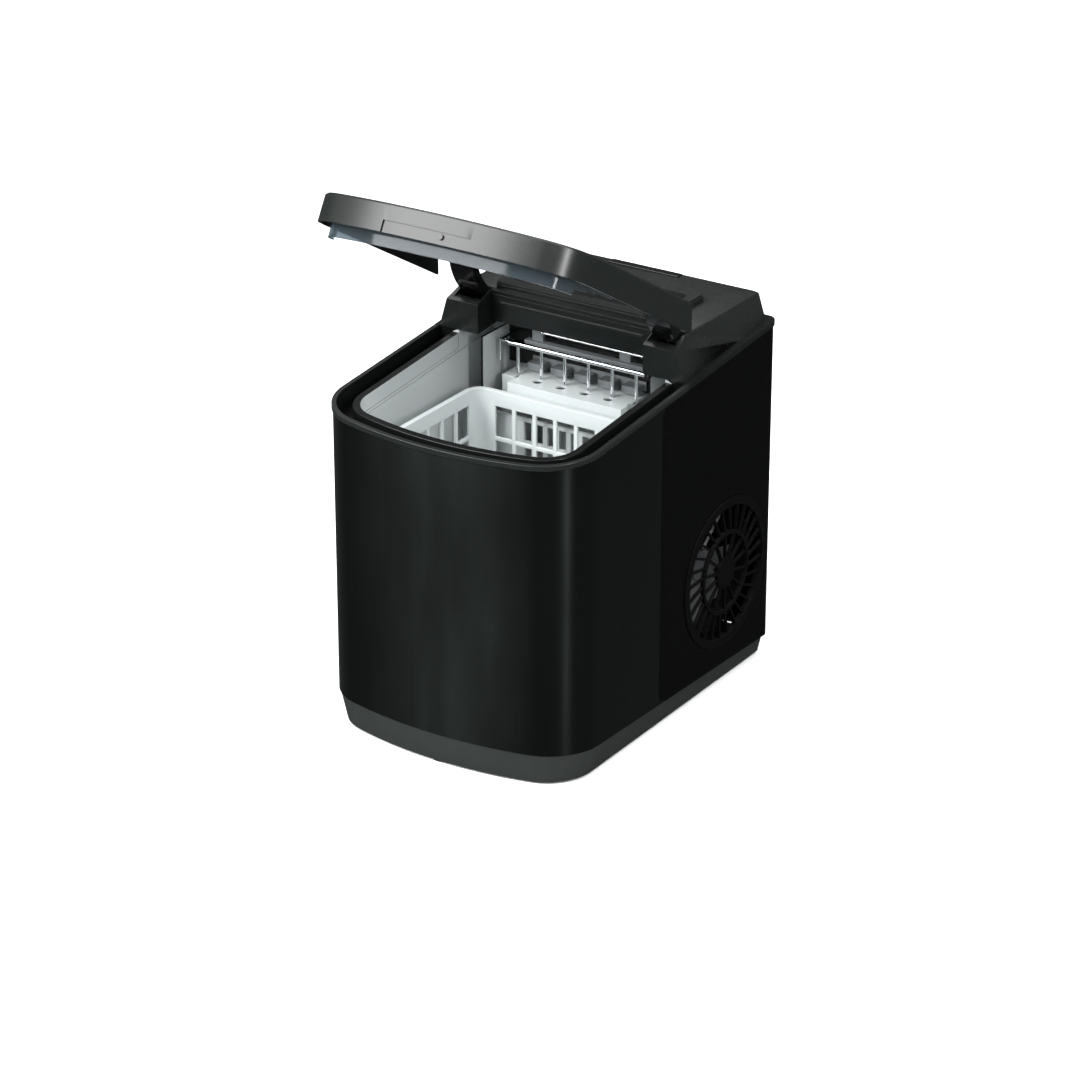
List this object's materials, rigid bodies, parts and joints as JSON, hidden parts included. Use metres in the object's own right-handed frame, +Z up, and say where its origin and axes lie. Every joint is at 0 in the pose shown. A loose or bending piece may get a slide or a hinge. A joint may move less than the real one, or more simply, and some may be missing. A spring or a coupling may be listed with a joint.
{
  "type": "ice maker",
  "caption": "Countertop ice maker with a bowed black body, tilting lid with a see-through window, lift-out ice basket, freezing fingers over a tipping water tray and a side fan grille",
  "frame": {"origin": "centre of the bottom of the bounding box, on the surface the feet stand on", "axes": "+Z up, front towards -Y, +X to the right seen from the front"},
  "size_m": [0.232, 0.3153, 0.4425],
  "materials": {
    "black_gloss_steel": "gloss black paint",
    "charcoal_plastic": "fine satin grain",
    "base_plastic": "satin",
    "black_plastic": "gloss black",
    "grille_plastic": "satin black",
    "rubber": "matte",
    "liner_plastic": "satin pale grey",
    "white_plastic": "smooth white",
    "foam": "rigid foam",
    "clear_window": "clear smoke tint",
    "bright_steel": "polished",
    "zinc_steel": "zinc plated",
    "grey_plastic": "satin grey",
    "key_plastic": "silver grey",
    "lens": "translucent blue",
    "board": "green circuit board",
    "compressor_black": "semi-gloss black",
    "aluminium_fin": "bare",
    "copper_tube": "copper",
    "motor_plastic": "dark grey"
  },
  "bodies": {
    "body": {"base_pan": "base_plastic", "feet": "rubber", "front_wrap": "black_gloss_steel", "side_panel_left": "black_gloss_steel", "side_panel_right": "black_gloss_steel", "rear_shell": "black_gloss_steel", "fan_grille": "grille_plastic", "intake_grille": "grille_plastic", "rear_vent": "grille_plastic", "cord_gland": "grille_plastic", "shell_screws": "zinc_steel", "top_deck": "charcoal_plastic", "top_rim": "charcoal_plastic", "inner_lip": "charcoal_plastic", "tank_liner": "liner_plastic", "well_trough": "liner_plastic", "tank_foam": "foam", "sump_strainer": "zinc_steel", "drain_tube": "liner_plastic", "rear_hood": "charcoal_plastic", "hood_fascia": "charcoal_plastic", "control_console": "charcoal_plastic", "control_panel": "black_plastic", "indicator_lenses": "lens", "control_board": "board", "rear_strip": "black_plastic", "hinge_guide_left": "charcoal_plastic", "hinge_guide_right": "charcoal_plastic", "evaporator": "bright_steel", "evaporator_block": "grey_plastic", "probe_rod": "bright_steel", "chamber_lining": "black_plastic", "sensor_lenses": "grey_plastic", "tray_bearings": "liner_plastic", "tray_motor": "grey_plastic", "water_pump": "motor_plastic", "water_hose": "liner_plastic", "compressor": "compressor_black", "compressor_mounts": "rubber", "condenser_fins": "aluminium_fin", "condenser_tube": "copper_tube", "fan_motor": "motor_plastic", "fan_bracket": "zinc_steel", "fan_shroud": "grille_plastic", "suction_line": "copper_tube", "filter_drier": "copper_tube", "power_board": "board", "machine_plate": "zinc_steel"},
    "lid": {"lid_frame": "charcoal_plastic", "lid_window": "clear_window", "window_skirt": "clear_window", "lid_knob": "black_plastic", "hinge_arms": "black_plastic", "arm_screws": "zinc_steel"},
    "tray": {"water_tray": "white_plastic"},
    "shovel": {"ice_shovel": "grey_plastic"},
    "basket": {"ice_basket": "white_plastic"},
    "rotor": {"fan_rotor": "motor_plastic"},
    "power_key": {"power_button": "key_plastic"},
    "select_key": {"select_button": "key_plastic"},
    "drain_plug": {"drain_cap": "base_plastic"}
  },
  "joints": [
    {"name": "lid_hinge", "type": "hinge", "parent": "body", "child": "lid", "pos_m": [0, 0.07729, 0.3485], "axis": [-1, 0, 0], "range_deg": [-38.18, 8]},
    {"name": "tray_tip", "type": "hinge", "parent": "body", "child": "tray", "pos_m": [0, 0.06369, 0.2332], "axis": [1, 0, 0], "range_deg": [0, 70]},
    {"name": "shovel_slide", "type": "slide", "parent": "body", "child": "shovel", "axis": [0, -1, 0], "range_m": [0, 0.012]},
    {"name": "basket_lift", "type": "slide", "parent": "body", "child": "basket", "axis": [0, 0, 1], "range_m": [0, 0.036]},
    {"name": "fan_spin", "type": "hinge", "parent": "body", "child": "rotor", "pos_m": [0.08, 0.08569, 0.098], "axis": [1, 0, 0], "continuous": true},
    {"name": "power_press", "type": "slide", "parent": "body", "child": "power_key", "axis": [0, 0, -1], "range_m": [0, 0.0012], "stiffness_N_per_m": 600, "springref_m": -0.001},
    {"name": "select_press", "type": "slide", "parent": "body", "child": "select_key", "axis": [0, 0, -1], "range_m": [0, 0.0012], "stiffness_N_per_m": 600, "springref_m": -0.001},
    {"name": "drain_turn", "type": "hinge", "parent": "body", "child": "drain_plug", "pos_m": [0, -0.13781, 0.001], "axis": [0, 0, 1], "range_deg": [0, 90]}
  ],
  "couplings": [
    {"joint": "shovel_slide", "follows": "tray_tip", "m_per_rad": 0.009626}
  ]
}
